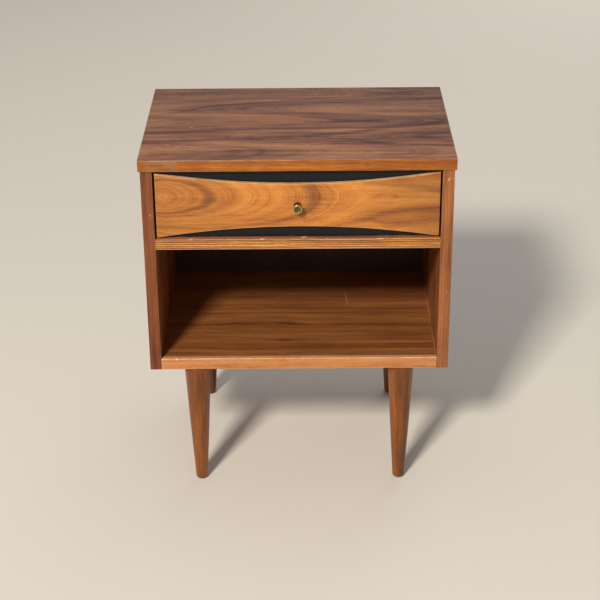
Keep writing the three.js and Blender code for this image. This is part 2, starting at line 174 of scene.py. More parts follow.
class Recipe:
    """One material, built node by node."""

    def __init__(self, name):
        self.material = bpy.data.materials.new(name)
        self.material.use_nodes = True
        self.tree = self.material.node_tree
        self.tree.nodes.clear()
        self.shader = self.add("ShaderNodeBsdfPrincipled")
        self.out = self.add("ShaderNodeOutputMaterial")
        self.join(self.shader.outputs[0], self.out.inputs[0])
        self.place = self.add("ShaderNodeTexCoord").outputs["Object"]

    def add(self, kind, **settings):
        node = self.tree.nodes.new(kind)
        for key, value in settings.items():
            setattr(node, key, value)
        return node

    def join(self, source, target):
        self.tree.links.new(source, target)

    def feed(self, socket, value):
        if isinstance(value, bpy.types.NodeSocket):
            self.join(value, socket)
        elif value is not None:
            socket.default_value = value

    def maths(self, operation, a, b=None, c=None, clamp=False):
        node = self.add("ShaderNodeMath", operation=operation, use_clamp=clamp)
        for socket, value in zip(node.inputs, (a, b, c)):
            self.feed(socket, value)
        return node.outputs[0]

    def times(self, a, b, clamp=False):
        return self.maths("MULTIPLY", a, b, clamp=clamp)

    def plus(self, a, b, clamp=False):
        return self.maths("ADD", a, b, clamp=clamp)

    def less(self, a, b):
        return self.maths("SUBTRACT", a, b)

    def times_plus(self, a, b, c):
        return self.maths("MULTIPLY_ADD", a, b, c)

    def vector(self, operation, a, b=None, out="Vector"):
        node = self.add("ShaderNodeVectorMath", operation=operation)
        self.feed(node.inputs[0], a)
        self.feed(node.inputs[1], b)
        return node.outputs[out]

    def parts(self, vector):
        node = self.add("ShaderNodeSeparateXYZ")
        self.join(vector, node.inputs[0])
        return node.outputs[0], node.outputs[1], node.outputs[2]

    def combine(self, x, y, z):
        node = self.add("ShaderNodeCombineXYZ")
        for socket, value in zip(node.inputs, (x, y, z)):
            self.feed(socket, value)
        return node.outputs[0]

    def noise(self, vector, scale=1.0, detail=2.0, roughness=0.5, distortion=0.0):
        node = self.add("ShaderNodeTexNoise")
        self.join(vector, node.inputs["Vector"])
        node.inputs["Scale"].default_value = scale
        node.inputs["Detail"].default_value = detail
        node.inputs["Roughness"].default_value = roughness
        node.inputs["Distortion"].default_value = distortion
        return node.outputs["Fac"]

    def grained(self, vector, sizes, **settings):
        """Noise that is drawn out by a different amount in each direction."""
        return self.noise(self.vector("MULTIPLY", vector, sizes), **settings)

    def noise_along(self, value, scale, detail=1.0, roughness=0.5):
        node = self.add("ShaderNodeTexNoise", noise_dimensions="1D")
        self.feed(node.inputs["W"], value)
        node.inputs["Scale"].default_value = scale
        node.inputs["Detail"].default_value = detail
        node.inputs["Roughness"].default_value = roughness
        return node.outputs["Fac"]

    def step(self, value, low, high, to_low=0.0, to_high=1.0, kind="SMOOTHSTEP"):
        """A soft step: to_low where the value is under low, to_high where it is over high."""
        node = self.add("ShaderNodeMapRange", interpolation_type=kind)
        for socket, item in zip(node.inputs, (value, low, high, to_low, to_high)):
            self.feed(socket, item)
        return node.outputs[0]

    def fall(self, value, low, high):
        """A soft step down: 1 where the value is under low, 0 where it is over high."""
        return self.step(value, low, high, 1.0, 0.0)

    def spread(self, field, amount):
        """Centres a noise field on 0, so that its usual swing is from -amount to +amount."""
        return self.times_plus(field, 5 * amount, -2.5 * amount)

    def sway(self, value, field, amount):
        return self.plus(value, self.spread(field, amount))

    def curve(self, value, points):
        """A smooth line through points whose places and heights are all between 0 and 1."""
        node = self.add("ShaderNodeFloatCurve")
        self.join(value, node.inputs["Value"])
        line = node.mapping.curves[0]
        while len(line.points) < len(points):
            line.points.new(0.5, 0.5)
        for point, (where, height) in zip(line.points, sorted(points)):
            point.location = (where, height)
        node.mapping.update()
        return node.outputs[0]

    def ramp(self, value, stops, smooth_stops=True):
        node = self.add("ShaderNodeValToRGB")
        self.join(value, node.inputs[0])
        node.color_ramp.interpolation = "EASE" if smooth_stops else "LINEAR"
        marks = node.color_ramp.elements
        while len(marks) < len(stops):
            marks.new(0.5)
        for mark, (where, colour) in zip(marks, stops):
            mark.position = where
            mark.color = (*colour, 1)
        return node.outputs["Color"]

    def mix(self, factor, a, b, blend="MIX"):
        node = self.add("ShaderNodeMix", data_type="RGBA", blend_type=blend)
        self.feed(node.inputs[0], factor)
        for index, value in ((6, a), (7, b)):
            if isinstance(value, tuple):
                value = (*value, 1)
            self.feed(node.inputs[index], value)
        return node.outputs[2]

    def tint(self, colour, mask, amount, code):
        return self.mix(self.times(mask, amount), colour, rgb(code))

    def bump(self, height, distance, strength=1.0, after=None):
        node = self.add("ShaderNodeBump")
        node.inputs["Strength"].default_value = strength
        node.inputs["Distance"].default_value = distance
        self.join(height, node.inputs["Height"])
        if after is not None:
            self.join(after, node.inputs["Normal"])
        return node.outputs[0]

    def finish(self, colour=None, roughness=None, normal=None, **fixed):
        if colour is not None:
            self.feed(self.shader.inputs["Base Color"], colour)
        if roughness is not None:
            self.feed(self.shader.inputs["Roughness"], roughness)
        if normal is not None:
            self.join(normal, self.shader.inputs["Normal"])
        for key, value in fixed.items():
            self.shader.inputs[key.replace("_", " ")].default_value = value
        return self.material


def rgb(code):
    """A colour from its usual six-figure code, made linear."""
    parts = [int(code[i:i + 2], 16) / 255 for i in (0, 2, 4)]
    return tuple(p / 12.92 if p <= 0.04045 else ((p + 0.055) / 1.055) ** 2.4 for p in parts)


def tones_of(codes):
    return tuple(rgb(code) for code in codes.split())


def arris(recipe, low, high, width):
    """1 on the outer edges of a squared piece, falling to 0 at the given distance from them."""
    inside = recipe.vector("MINIMUM", recipe.vector("SUBTRACT", recipe.place, tuple(low)),
                           recipe.vector("SUBTRACT", tuple(high), recipe.place))
    x, y, z = recipe.parts(inside)
    most = recipe.maths("MAXIMUM", recipe.maths("MAXIMUM", x, y), z)
    least = recipe.maths("MINIMUM", recipe.maths("MINIMUM", x, y), z)
    total = recipe.plus(recipe.plus(x, y), z)
    middle = recipe.less(recipe.less(total, most), least)
    return recipe.fall(middle, 0.0, width)


def vein(recipe, along, across, marks, fuzz):
    """A soft streak through listed marks. Each mark is (along, across, half width, strength), in millimetres."""
    start, end = marks[0][0] * MM, marks[-1][0] * MM
    place = recipe.step(along, start, end, 0.0, 1.0, "LINEAR")
    lowest = min(mark[1] for mark in marks)
    tallest = max(max(mark[1] for mark in marks) - lowest, 1.0)
    widest = max(mark[2] for mark in marks)
    stations = [(mark[0] - marks[0][0]) / (marks[-1][0] - marks[0][0]) for mark in marks]
    middle = recipe.curve(place, [(t, (mark[1] - lowest) / tallest) for t, mark in zip(stations, marks)])
    middle = recipe.times_plus(middle, tallest * MM, lowest * MM)
    breadth = recipe.curve(place, [(t, mark[2] / widest) for t, mark in zip(stations, marks)])
    breadth = recipe.times(breadth, widest * MM)
    power = recipe.curve(place, [(t, mark[3]) for t, mark in zip(stations, marks)])
    off = recipe.maths("ABSOLUTE", recipe.less(across, middle))
    off = recipe.plus(recipe.maths("DIVIDE", off, breadth), fuzz)
    return recipe.times(recipe.fall(off, 0.0, 1.0), power)


def timber(name, axes, tones, seed=0.0, ring=0.004, wander=0.004, band=0.30, line=0.12, fibre=0.22, blotch=0.16,
           pores=0.45, gloss=0.42, figure=None, veins=(), edge=None, edge_tone=None, edge_width=0.0012,
           edge_amount=0.6, coat=0.12, extra=None, jag=0.0006, coarse=1.0, sharp=4.0, spacing=6.0, steady=0.0):
    """Wood cut from a board. axes names the directions along the grain, across it, and through it.
    tones are its dark, middle and light colours. figure(recipe, along, across) gives the ring distance
    where the grain is not straight. veins are (marks, stain, depth), with the marks of vein()."""
    recipe = Recipe(name)
    found = dict(zip("xyz", recipe.parts(recipe.place)))
    along, across, through = (found[a] for a in axes)
    shifted = recipe.combine(recipe.plus(along, seed), recipe.plus(across, seed * 0.37), through)

    # slow wander of the grain, then a finer ripple and a jagged tremor
    slow = recipe.grained(shifted, (3.2, 13.0, 13.0), detail=2.0)
    fine = recipe.grained(shifted, (22.0, 90.0, 90.0), detail=2.0)
    tremor = recipe.grained(shifted, (130.0, 420.0, 420.0), detail=2.0)
    grain = recipe.sway(across, slow, wander)
    grain = recipe.sway(grain, fine, wander * 0.2)
    flow = recipe.combine(recipe.plus(along, seed), grain, through)
    grain = recipe.sway(grain, tremor, jag)
    rings = figure(recipe, along, grain) if figure else recipe.times_plus(through, 0.35, grain)

    # growth rings: uneven bands, each ending in a fine line
    wide = recipe.noise_along(recipe.plus(rings, seed), 1 / (ring * spacing), detail=5.0, roughness=0.68)
    turn = recipe.maths("DIVIDE", recipe.sway(rings, wide, ring * 0.8), ring)
    late = recipe.maths("POWER", recipe.times(recipe.maths("PINGPONG", turn, 0.5), 2.0), sharp)
    weight = recipe.noise_along(recipe.plus(rings, seed + 3.1), 1 / (ring * 2.3), detail=1.0)
    late = recipe.times(late, recipe.step(weight, 0.35, 0.6, 0.2, 1.0))
    broken = recipe.grained(shifted, (30.0, 70.0, 70.0), detail=2.0)
    late = recipe.times(late, recipe.step(broken, 0.36, 0.56, 0.25 + 0.75 * steady, 1.0))

    # fibre, drawn out along the grain, and pores as short dark dashes
    ribbons = recipe.grained(flow, (3.5 * coarse, 75.0 * coarse, 75.0 * coarse), detail=4.0,
                           roughness=0.66)
    strands = recipe.grained(flow, (9.0, 380.0, 380.0), detail=4.0, roughness=0.65)
    hairs = recipe.grained(flow, (26.0, 1500.0, 1500.0), detail=2.0, roughness=0.6)
    dashes = recipe.grained(flow, (110.0, 2600.0, 2600.0), detail=1.0)
    pore = recipe.step(dashes, 0.60, 0.70)
    cloud = recipe.grained(shifted, (6.0, 18.0, 18.0), detail=3.0)

    tone = recipe.plus(recipe.spread(wide, band), 0.5)
    for field, amount in ((ribbons, fibre), (strands, fibre * 0.7), (hairs, fibre * 0.5), (cloud, blotch)):
        tone = recipe.sway(tone, field, amount)
    tone = recipe.less(tone, recipe.times(late, line))
    dark, middle, light = tones
    colour = recipe.ramp(tone, ((0.0, dark), (0.5, middle), (1.0, light)), smooth_stops=False)

    fuzz = recipe.sway(recipe.spread(strands, 0.22), ribbons, 0.2)
    for marks, stain, depth in veins:
        mask = recipe.times(vein(recipe, along, grain, marks, fuzz), depth, clamp=True)
        colour = recipe.mix(mask, colour, stain, "MULTIPLY")

    if extra:
        colour = extra(recipe, colour, along, grain, shifted, strands)
    colour = recipe.mix(recipe.times(pore, pores), colour, tuple(c * 0.4 for c in dark))

    sheen = recipe.plus(recipe.spread(strands, 0.05), gloss)
    sheen = recipe.times_plus(pore, 0.18, sheen)
    if edge:
        worn = arris(recipe, edge[0], edge[1], edge_width)
        rub = recipe.grained(shifted, (38.0, 60.0, 60.0), detail=4.0, roughness=0.7)
        worn = recipe.times(worn, recipe.step(rub, 0.38, 0.62, 0.15, 1.0))
        worn = recipe.times(worn, edge_amount, clamp=True)
        colour = recipe.mix(worn, colour, edge_tone)
        sheen = recipe.times_plus(worn, 0.2, sheen)

    relief = recipe.less(recipe.times(strands, 0.4), pore)
    relief = recipe.less(relief, recipe.times(late, 0.2))
    normal = recipe.bump(relief, 0.0001, 0.5)
    return recipe.finish(colour, sheen, normal, Coat_Weight=coat, Coat_Roughness=0.28, Specular_IOR_Level=0.4)


# ---------------------------------------------------------------- timbers

def box_of(*names):
    lows, highs = zip(*(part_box(n) for n in names))
    return (Vector(min(v[i] for v in lows) for i in range(3)), Vector(max(v[i] for v in highs) for i in range(3)))


TOP_BOX = box_of("top_veneer", "top_edging_front", "top_edging_left", "top_edging_right")
WORN = rgb("d0a67a")
# stains that darken the wood under them: the share of each colour that is left
PLUM = (0.43, 0.38, 0.54)
UMBER = (0.46, 0.40, 0.36)
SMOKE = (0.42, 0.38, 0.38)

TOP_TONES = tones_of("563226 83563f a87249")
EDGING_TONES = tones_of("753505 9e550b ba7215")
SIDE_TONES = tones_of("5e2e18 8a4e2a a76a38")
STRIP_TONES_LEFT = tones_of("4f210b 753a19 8e5021")
STRIP_TONES_RIGHT = tones_of("643217 935529 b27337")
SHELF_TONES = tones_of("5c3017 875128 a56b37")
LIP_TONES = tones_of("8d4a1a b77036 c98b4d")
RAIL_TONES = tones_of("844617 cd863a ebb263")
FACE_TONES = tones_of("96511a c77b2f e09843")
LEG_TONES = tones_of("522604 783e0c 935411")
MAPLE_TONES = tones_of("a17a4c c49e6b dcbd8c")
CORE_TONES = tones_of("4d3322 6a4a33 856048")

# How far along the board each growth ring reaches, from the front edge to the back: its peaks are
# the tips of the flames on the top
TOP_REACH = ((0, 180), (36, 300), (70, 170), (106, 0), (140, 270), (176, 600), (211, 430), (246, 260), (281, 460),
             (316, 660), (356, 500))
FARTHEST = max(reach for _, reach in TOP_REACH)
TOP_DEEP = 355.6
RINGS_TO_REACH = 0.16            # slope of the rings against the length of the board


def top_figure(recipe, along, grain):
    depth = recipe.maths("DIVIDE", recipe.less(grain, FRONT), TOP_DEEP * MM)
    reach = recipe.curve(depth, [(d / TOP_DEEP, r / FARTHEST) for d, r in TOP_REACH])
    tip = recipe.times(reach, FARTHEST * MM)
    return recipe.times(recipe.less(along, tip), RINGS_TO_REACH)


def from_front(*veins):
    """Veins of a level board, given with their depths counted from the front of the top."""
    return [([(x, depth + FRONT / MM, width, strength) for x, depth, width, strength in marks], stain, share)
            for marks, stain, share in veins]


TOP_VEINS = from_front(
    ([(-254, 207, 5, 0.3), (-190, 238, 7, 0.7), (-150, 263, 8, 1.0), (-41, 282, 8, 0.85), (60, 300, 10, 0.7),
      (120, 312, 15, 0.9), (165, 318, 13, 0.85), (205, 320, 6, 0.0)], PLUM, 0.95),
    ([(10, 346, 5, 0.0), (60, 344, 8, 0.7), (110, 336, 8, 0.6), (150, 327, 8, 0.5), (190, 322, 5, 0.0)], PLUM, 0.7),
    ([(-215, 232, 5, 0.2), (-120, 225, 6, 0.6), (-40, 210, 7, 0.6), (40, 190, 9, 0.75), (95, 178, 12, 1.0),
      (132, 176, 9, 0.8), (155, 176, 5, 0.0)], PLUM, 0.9),
    ([(-175, 143, 4, 0.0), (-100, 150, 5, 0.5), (-6, 164, 6, 0.5), (60, 172, 11, 0.8), (110, 176, 10, 0.6),
      (145, 176, 5, 0.0)], PLUM, 0.8),
    ([(-254, 84, 10, 0.8), (-190, 88, 11, 0.95), (-136, 94, 9, 0.9), (-60, 100, 11, 0.95), (0, 106, 12, 1.0),
      (50, 118, 14, 1.0), (94, 130, 15, 0.9), (161, 151, 11, 0.75), (210, 160, 10, 0.9),
      (254, 167, 10, 1.0)], PLUM, 1.0),
    ([(0, 106, 8, 0.0), (50, 99, 9, 0.6), (93, 90, 12, 0.8), (130, 76, 15, 1.0), (166, 66, 12, 0.75),
      (210, 63, 8, 0.8), (254, 60, 8, 0.9)], PLUM, 0.9),
    ([(-254, 330, 6, 0.3), (-180, 328, 7, 0.6), (-90, 338, 6, 0.4), (0, 349, 5, 0.0)], PLUM, 0.6),
    ([(-254, 128, 5, 0.3), (-170, 124, 7, 0.5), (-60, 134, 5, 0.0)], PLUM, 0.6),
    ([(-254, 30, 6, 0.2), (-150, 24, 5, 0.5), (-20, 22, 5, 0.2), (90, 26, 6, 0.5), (254, 24, 5, 0.3)], UMBER, 0.5),
)


def scuffs(recipe, colour, along, grain, shifted, strands):
    """A warmer patch behind the left of the middle, and small pale rubs, most of them near the front left."""
    glow = recipe.vector("DISTANCE", recipe.combine(recipe.times(along, 0.4), grain, 0.0),
                         (-95 * MM * 0.4, FRONT + 192 * MM, 0.0), out="Value")
    colour = recipe.mix(recipe.step(glow, 0.012, 0.05, 0.3, 0.0), colour, rgb("a8703f"))
    flecks = recipe.grained(shifted, (70.0, 330.0, 330.0), detail=2.0, roughness=0.4)
    patch = recipe.grained(shifted, (6.0, 20.0, 20.0), detail=1.0)
    marks = recipe.times(recipe.step(flecks, 0.69, 0.74), recipe.step(patch, 0.5, 0.62))
    near = recipe.vector("DISTANCE", recipe.combine(along, recipe.times(grain, 3.0), 0.0),
                         (-205 * MM, (FRONT + 60 * MM) * 3, 0.0), out="Value")
    front_left = recipe.times(recipe.fall(near, 0.02, 0.075), recipe.step(flecks, 0.60, 0.68))
    marks = recipe.plus(marks, front_left, clamp=True)
    return recipe.tint(colour, marks, 0.55, "b8977a")


RING_MARK = (111 * MM, 0.0, 597.5 * MM)


def lip_marks(recipe, colour, along, grain, shifted, strands):
    """The top's front edging: greyed and rubbed at its left end, amber in the middle, one small ring mark."""
    x, _, z = recipe.parts(recipe.place)
    across_width = recipe.step(x, TOP_BOX[0].x, TOP_BOX[1].x, 0.0, 1.0, "LINEAR")
    warm = recipe.curve(across_width, [(0, 0.25), (0.12, 0.2), (0.25, 0.55), (0.45, 0.75), (0.7, 0.8), (0.85, 0.55),
                                       (1, 0.3)])
    patchy = recipe.grained(recipe.place, (28.0, 10.0, 60.0), detail=3.0, roughness=0.6)
    warm = recipe.plus(warm, recipe.spread(patchy, 0.55), clamp=True)
    colour = recipe.mix(warm, recipe.mix(1.0, colour, (0.72, 0.66, 0.80), "MULTIPLY"), colour)
    grey = recipe.times(recipe.step(x, -0.245, -0.235), recipe.fall(x, -0.195, -0.185))
    grey = recipe.times(grey, recipe.step(patchy, 0.4, 0.6, 0.2, 0.6))
    colour = recipe.mix(grey, colour, rgb("8f6748"))
    away = recipe.vector("DISTANCE", recipe.combine(x, 0.0, z), RING_MARK, out="Value")
    ring = recipe.times(recipe.step(away, 0.0016, 0.0024), recipe.fall(away, 0.0028, 0.0036))
    colour = recipe.tint(colour, ring, 0.6, "63351a")
    front_rub = recipe.step(z, TOP_BOX[1].z - 0.0016, TOP_BOX[1].z - 0.0004)
    broken = recipe.grained(recipe.place, (30.0, 30.0, 80.0), detail=4.0, roughness=0.7)
    left_more = recipe.step(x, -0.22, 0.05, 0.12, 0.0)
    wear = recipe.step(recipe.plus(broken, left_more), 0.52, 0.66, 0.0, 0.75)
    return recipe.mix(recipe.times(front_rub, wear), colour, rgb("dcc3a4"))


top_wood = timber("walnut_top", "xyz", TOP_TONES, seed=1.7, ring=0.0052, wander=0.005, band=0.34, line=0.26,
                  fibre=0.36, blotch=0.14, gloss=0.42, figure=top_figure, veins=TOP_VEINS, edge=TOP_BOX,
                  edge_tone=WORN, edge_width=0.0013, edge_amount=0.5, extra=scuffs, jag=0.0004)
lip_wood = timber("walnut_top_edging", "xzy", EDGING_TONES, seed=4.2, ring=0.006, wander=0.003, band=0.26,
                  fibre=0.30, blotch=0.2, extra=lip_marks, coarse=1.6)
end_lip_wood = timber("walnut_end_edging", "yzx", EDGING_TONES, seed=6.4, ring=0.006, wander=0.003, band=0.26,
                      fibre=0.30, blotch=0.2, edge=TOP_BOX, edge_tone=WORN, edge_width=0.0011, edge_amount=0.5,
                      coarse=1.6)

# Drawer face: nested rings that start at an eye near the left end and point to the right
FACE_LOW, FACE_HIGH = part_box("drawer_overlay")
DIP = 18.4 * MM
ARC = (FACE_HIGH.x ** 2 + DIP ** 2) / (2 * DIP)
UPPER_ARC_Z = FACE_HIGH.z - DIP + ARC
LOWER_ARC_Z = FACE_LOW.z + DIP - ARC
eye_x = FACE_LOW.x + 12 * MM
eye_z = FACE_LOW.z + 71 * MM
BLUNT = 0.00006                  # rounds the tips of the rings and flames


def face_figure(recipe, along, grain):
    """Rounded rings over most of the face, which turn into long straight flames near the right-hand end."""
    off = recipe.less(grain, eye_z)
    off_squared = recipe.times(off, off)
    reach = recipe.less(along, eye_x)
    reach = recipe.maths("SQRT", recipe.times_plus(reach, reach, BLUNT))
    turn = recipe.less(along, 0.02)
    pull = recipe.times_plus(recipe.times(turn, turn), 900.0, 33.0)
    rounded = recipe.times_plus(off_squared, pull, reach)
    flame = recipe.maths("SQRT", recipe.plus(off_squared, BLUNT))
    flame = recipe.times_plus(flame, 1.1, recipe.times_plus(along, 0.13, 0.295))
    turned_straight = recipe.step(along, 0.06, 0.15)
    return recipe.plus(recipe.times(flame, turned_straight),
                        recipe.times(rounded, recipe.less(1.0, turned_straight)))


FACE_VEINS = (
    ([(80, 563, 3, 0.0), (120, 562, 5, 0.5), (180, 558, 8, 0.85), (228, 553, 9, 1.0)], SMOKE, 0.75),
    ([(60, 486, 6, 0.0), (96, 499, 8, 0.7), (140, 511, 10, 0.9), (185, 518, 9, 0.8), (228, 523, 8, 0.9)],
     SMOKE, 0.7),
    ([(110, 540, 3, 0.0), (150, 541, 4, 0.4), (190, 541, 5, 0.5), (228, 539, 5, 0.4)], SMOKE, 0.5),
    ([(120, 490, 3, 0.0), (170, 496, 4, 0.4), (228, 501, 5, 0.5)], SMOKE, 0.4),
    ([(-228, 486, 7, 0.3), (-150, 490, 8, 0.5), (-90, 492, 6, 0.3), (-40, 494, 6, 0.0)], SMOKE, 0.5),
)


# broad rings on the drawer face: distance from the eye, half width, strength
FACE_RINGS = ((0.077, 0.020, 0.95), (0.249, 0.021, 0.95), (0.272, 0.012, 0.35), (0.022, 0.007, 0.25),
              (0.100, 0.008, 0.3), (0.052, 0.006, 0.3))


def face_bands(recipe, colour, along, grain, shifted, strands):
    """The broad soft dark rings, laid on the same figure as the fine ones, and the edge of the sheet."""
    rings = face_figure(recipe, along, grain)
    drift = recipe.grained(shifted, (9.0, 26.0, 26.0), detail=3.0)
    rings = recipe.sway(rings, drift, 0.006)
    rough_edge = recipe.spread(strands, 0.25)
    height = recipe.maths("ABSOLUTE", recipe.less(grain, eye_z))
    for where, width, depth in FACE_RINGS:
        off = recipe.maths("ABSOLUTE", recipe.less(rings, where))
        off = recipe.plus(recipe.maths("DIVIDE", off, width), rough_edge)
        mask = recipe.times(recipe.fall(off, 0.0, 1.0), depth)
        mask = recipe.times(mask, recipe.step(height, 0.0, 0.075, 1.0, 0.45))
        colour = recipe.mix(mask, colour, SMOKE, "MULTIPLY")
    # the face is made darker towards both ends, most at the right
    width_share = recipe.step(along, FACE_LOW.x, FACE_HIGH.x, 0.0, 1.0, "LINEAR")
    shade = recipe.curve(width_share, [(0, 0.72), (0.1, 0.78), (0.22, 0.82), (0.36, 0.98), (0.5, 0.95), (0.62, 0.96),
                                       (0.78, 0.81), (0.9, 0.69), (1, 0.60)])
    colour = recipe.mix(1.0, colour, recipe.combine(shade, shade, shade), "MULTIPLY")

    # the edge of the sheet shows the layers of the board under the face veneer
    x, y, z = recipe.parts(recipe.place)
    depth_in = recipe.less(y, FACE_LOW.y)
    layer = recipe.maths("FRACT", recipe.maths("DIVIDE", depth_in, 0.0025))
    ply = recipe.mix(recipe.step(layer, 0.5, 0.6), rgb("c79b66"), rgb("8a5b34"))
    colour = recipe.mix(recipe.step(depth_in, 0.0009, 0.0012), colour, ply)
    to_curve = None
    for centre in (UPPER_ARC_Z, LOWER_ARC_Z):
        away = recipe.vector("DISTANCE", recipe.combine(x, 0.0, z), (0.0, 0.0, centre), out="Value")
        gap = recipe.maths("ABSOLUTE", recipe.less(away, ARC))
        to_curve = gap if to_curve is None else recipe.maths("MINIMUM", to_curve, gap)
    rub = recipe.grained(recipe.place, (40.0, 40.0, 90.0), detail=4.0, roughness=0.7)
    worn = recipe.times(recipe.fall(to_curve, 0.0002, 0.0013), recipe.step(rub, 0.36, 0.6, 0.35, 1.0))
    return recipe.tint(colour, worn, 0.55, "e0bd8a")


face_wood = timber("walnut_drawer_face", "xzy", FACE_TONES, seed=2.9, ring=0.0060, wander=0.0034, band=0.20,
                   line=0.33, fibre=0.16, blotch=0.16, sharp=2.6, pores=0.3, gloss=0.38, figure=face_figure,
                   veins=FACE_VEINS,
                   edge=(FACE_LOW, FACE_HIGH), edge_tone=rgb("e0bd8c"), edge_width=0.0010, edge_amount=0.5,
                   coat=0.2, extra=face_bands, jag=0.0009)

side_wood = {}
side_lip_wood = {}
for side, seed in (("left", 7.3), ("right", 9.1)):
    side_wood[side] = timber(f"walnut_side_{side}", "zyx", SIDE_TONES, seed=seed, ring=0.007, wander=0.014,
                             band=0.34, line=0.12, fibre=0.28, blotch=0.16,
                             edge=box_of(f"side_{side}", f"side_edging_{side}"), edge_tone=WORN,
                             edge_width=0.001, edge_amount=0.3)


def nick(recipe, colour, along, grain, shifted, strands):
    """One small pale bruise high on the right-hand strip, and a few flecks elsewhere."""
    up = recipe.less(along, 571 * MM)
    over = recipe.less(grain, 243 * MM)
    lean = recipe.times_plus(up, -0.9, over)
    away = recipe.vector("LENGTH", recipe.combine(recipe.times(up, 0.55), lean, 0.0), out="Value")
    bruise = recipe.fall(away, 0.0010, 0.0022)
    flecks = recipe.grained(shifted, (120.0, 260.0, 260.0), detail=1.0)
    marks = recipe.plus(bruise, recipe.step(flecks, 0.76, 0.80), clamp=True)
    return recipe.tint(colour, marks, 0.6, "e0b88e")


for side, seed, tones in (("left", 3.3, STRIP_TONES_LEFT), ("right", 5.6, STRIP_TONES_RIGHT)):
    side_lip_wood[side] = timber(f"walnut_strip_{side}", "zxy", tones, seed=seed, ring=0.004, wander=0.003,
                                 band=0.28, line=0.1, fibre=0.30, blotch=0.2, edge=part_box(f"side_edging_{side}"),
                                 edge_tone=WORN, edge_width=0.0009, edge_amount=0.4, extra=nick, coarse=1.6)

SHELF_VEINS = from_front(
    ([(-75, 135, 3, 0.0), (-45, 134, 5, 0.6), (-21, 133, 9, 1.0), (0, 132, 5, 0.5), (30, 131, 3, 0.0)], UMBER, 0.95),
    ([(-80, 72, 3, 0.0), (-50, 71, 5, 0.6), (-26, 70, 8, 1.0), (-5, 69, 5, 0.4), (25, 68, 3, 0.0)], UMBER, 0.95),
    ([(-232, 131, 5, 0.4), (-150, 130, 6, 0.6), (-60, 133, 4, 0.1)], UMBER, 0.45),
    ([(-232, 93, 7, 0.5), (-150, 88, 7, 0.7), (-60, 74, 5, 0.2)], UMBER, 0.5),
    ([(80, 125, 4, 0.0), (150, 123, 7, 0.6), (232, 122, 8, 0.8)], UMBER, 0.55),
    ([(60, 88, 4, 0.0), (130, 90, 7, 0.6), (232, 91, 8, 0.7)], UMBER, 0.5),
    ([(-232, 215, 6, 0.3), (-80, 226, 8, 0.5), (80, 222, 7, 0.4), (232, 214, 6, 0.4)], UMBER, 0.4),
    ([(-232, 176, 5, 0.4), (-20, 172, 6, 0.3), (232, 166, 6, 0.4)], UMBER, 0.35),
)


def shelf_marks(recipe, colour, along, grain, shifted, strands):
    """One fine pale scratch near the middle, and a rubbed line along the right-hand joint."""
    x, y, _ = recipe.parts(recipe.place)
    t = recipe.maths("DIVIDE", recipe.less(y, FRONT + 210 * MM), 50 * MM)
    line = recipe.maths("ABSOLUTE", recipe.less(x, recipe.times_plus(t, -3 * MM, 87 * MM)))
    within = recipe.times(recipe.step(t, -0.1, 0.1), recipe.fall(t, 0.9, 1.1))
    scratch = recipe.times(recipe.step(line, 0.0004, 0.0011, 0.55, 0.0), within)
    joint = recipe.step(x, 0.2305, 0.2313, 0.0, 0.6)
    rub = recipe.grained(recipe.place, (10.0, 25.0, 10.0), detail=3.0, roughness=0.6)
    marks = recipe.plus(scratch, recipe.times(joint, recipe.step(rub, 0.4, 0.6, 0.3, 1.0)))
    return recipe.mix(marks, colour, rgb("c79a72"))


shelf_wood = timber("walnut_shelf", "xyz", SHELF_TONES, seed=8.2, ring=0.0055, wander=0.005, band=0.20, line=0.20,
                    fibre=0.26, blotch=0.12, veins=SHELF_VEINS, extra=shelf_marks)


def lip_wear(recipe, colour, along, grain, shifted, strands):
    """The shelf's front edging: a pale line at its joint, a rubbed front arris with chips, and a mottled face."""
    _, y, z = recipe.parts(recipe.place)
    low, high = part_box("shelf_edging")
    upper = recipe.step(z, high.z - 0.0012, high.z - 0.0004)
    rub = recipe.grained(recipe.place, (14.0, 60.0, 60.0), detail=3.0, roughness=0.6)
    mottle = recipe.grained(recipe.place, (45.0, 120.0, 150.0), detail=3.0, roughness=0.6)
    colour = recipe.mix(recipe.step(mottle, 0.42, 0.66, 0.0, 0.45), colour, rgb("b98465"))
    worn = recipe.times(upper, recipe.step(rub, 0.35, 0.65, 0.2, 0.5))
    seam = recipe.times(recipe.step(y, high.y - 0.0019, high.y - 0.0010), upper)
    worn = recipe.maths("MAXIMUM", worn, recipe.times(seam, recipe.step(rub, 0.3, 0.5, 0.6, 1.0)))
    colour = recipe.mix(worn, colour, rgb("c8a383"))
    chips = recipe.grained(recipe.place, (48.0, 90.0, 90.0), detail=3.0, roughness=0.7)
    near_front = recipe.fall(y, low.y + 0.0016, low.y + 0.0034)
    near_top = recipe.step(z, high.z - 0.0034, high.z - 0.0018)
    chips = recipe.times(recipe.step(chips, 0.62, 0.70, 0.0, 0.8), recipe.times(near_front, near_top))
    return recipe.mix(chips, colour, rgb("f0dcc0"))


shelf_lip_wood = timber("walnut_shelf_edging", "xzy", LIP_TONES, seed=3.9, ring=0.006, wander=0.003, band=0.2,
                        line=0.08, fibre=0.24, edge=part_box("shelf_edging"), edge_tone=rgb("e4c6a0"),
                        edge_width=0.0018, edge_amount=0.7, extra=lip_wear, coarse=1.5)


STRIPE = 0.0035                  # from one dark stripe of the rail to the next


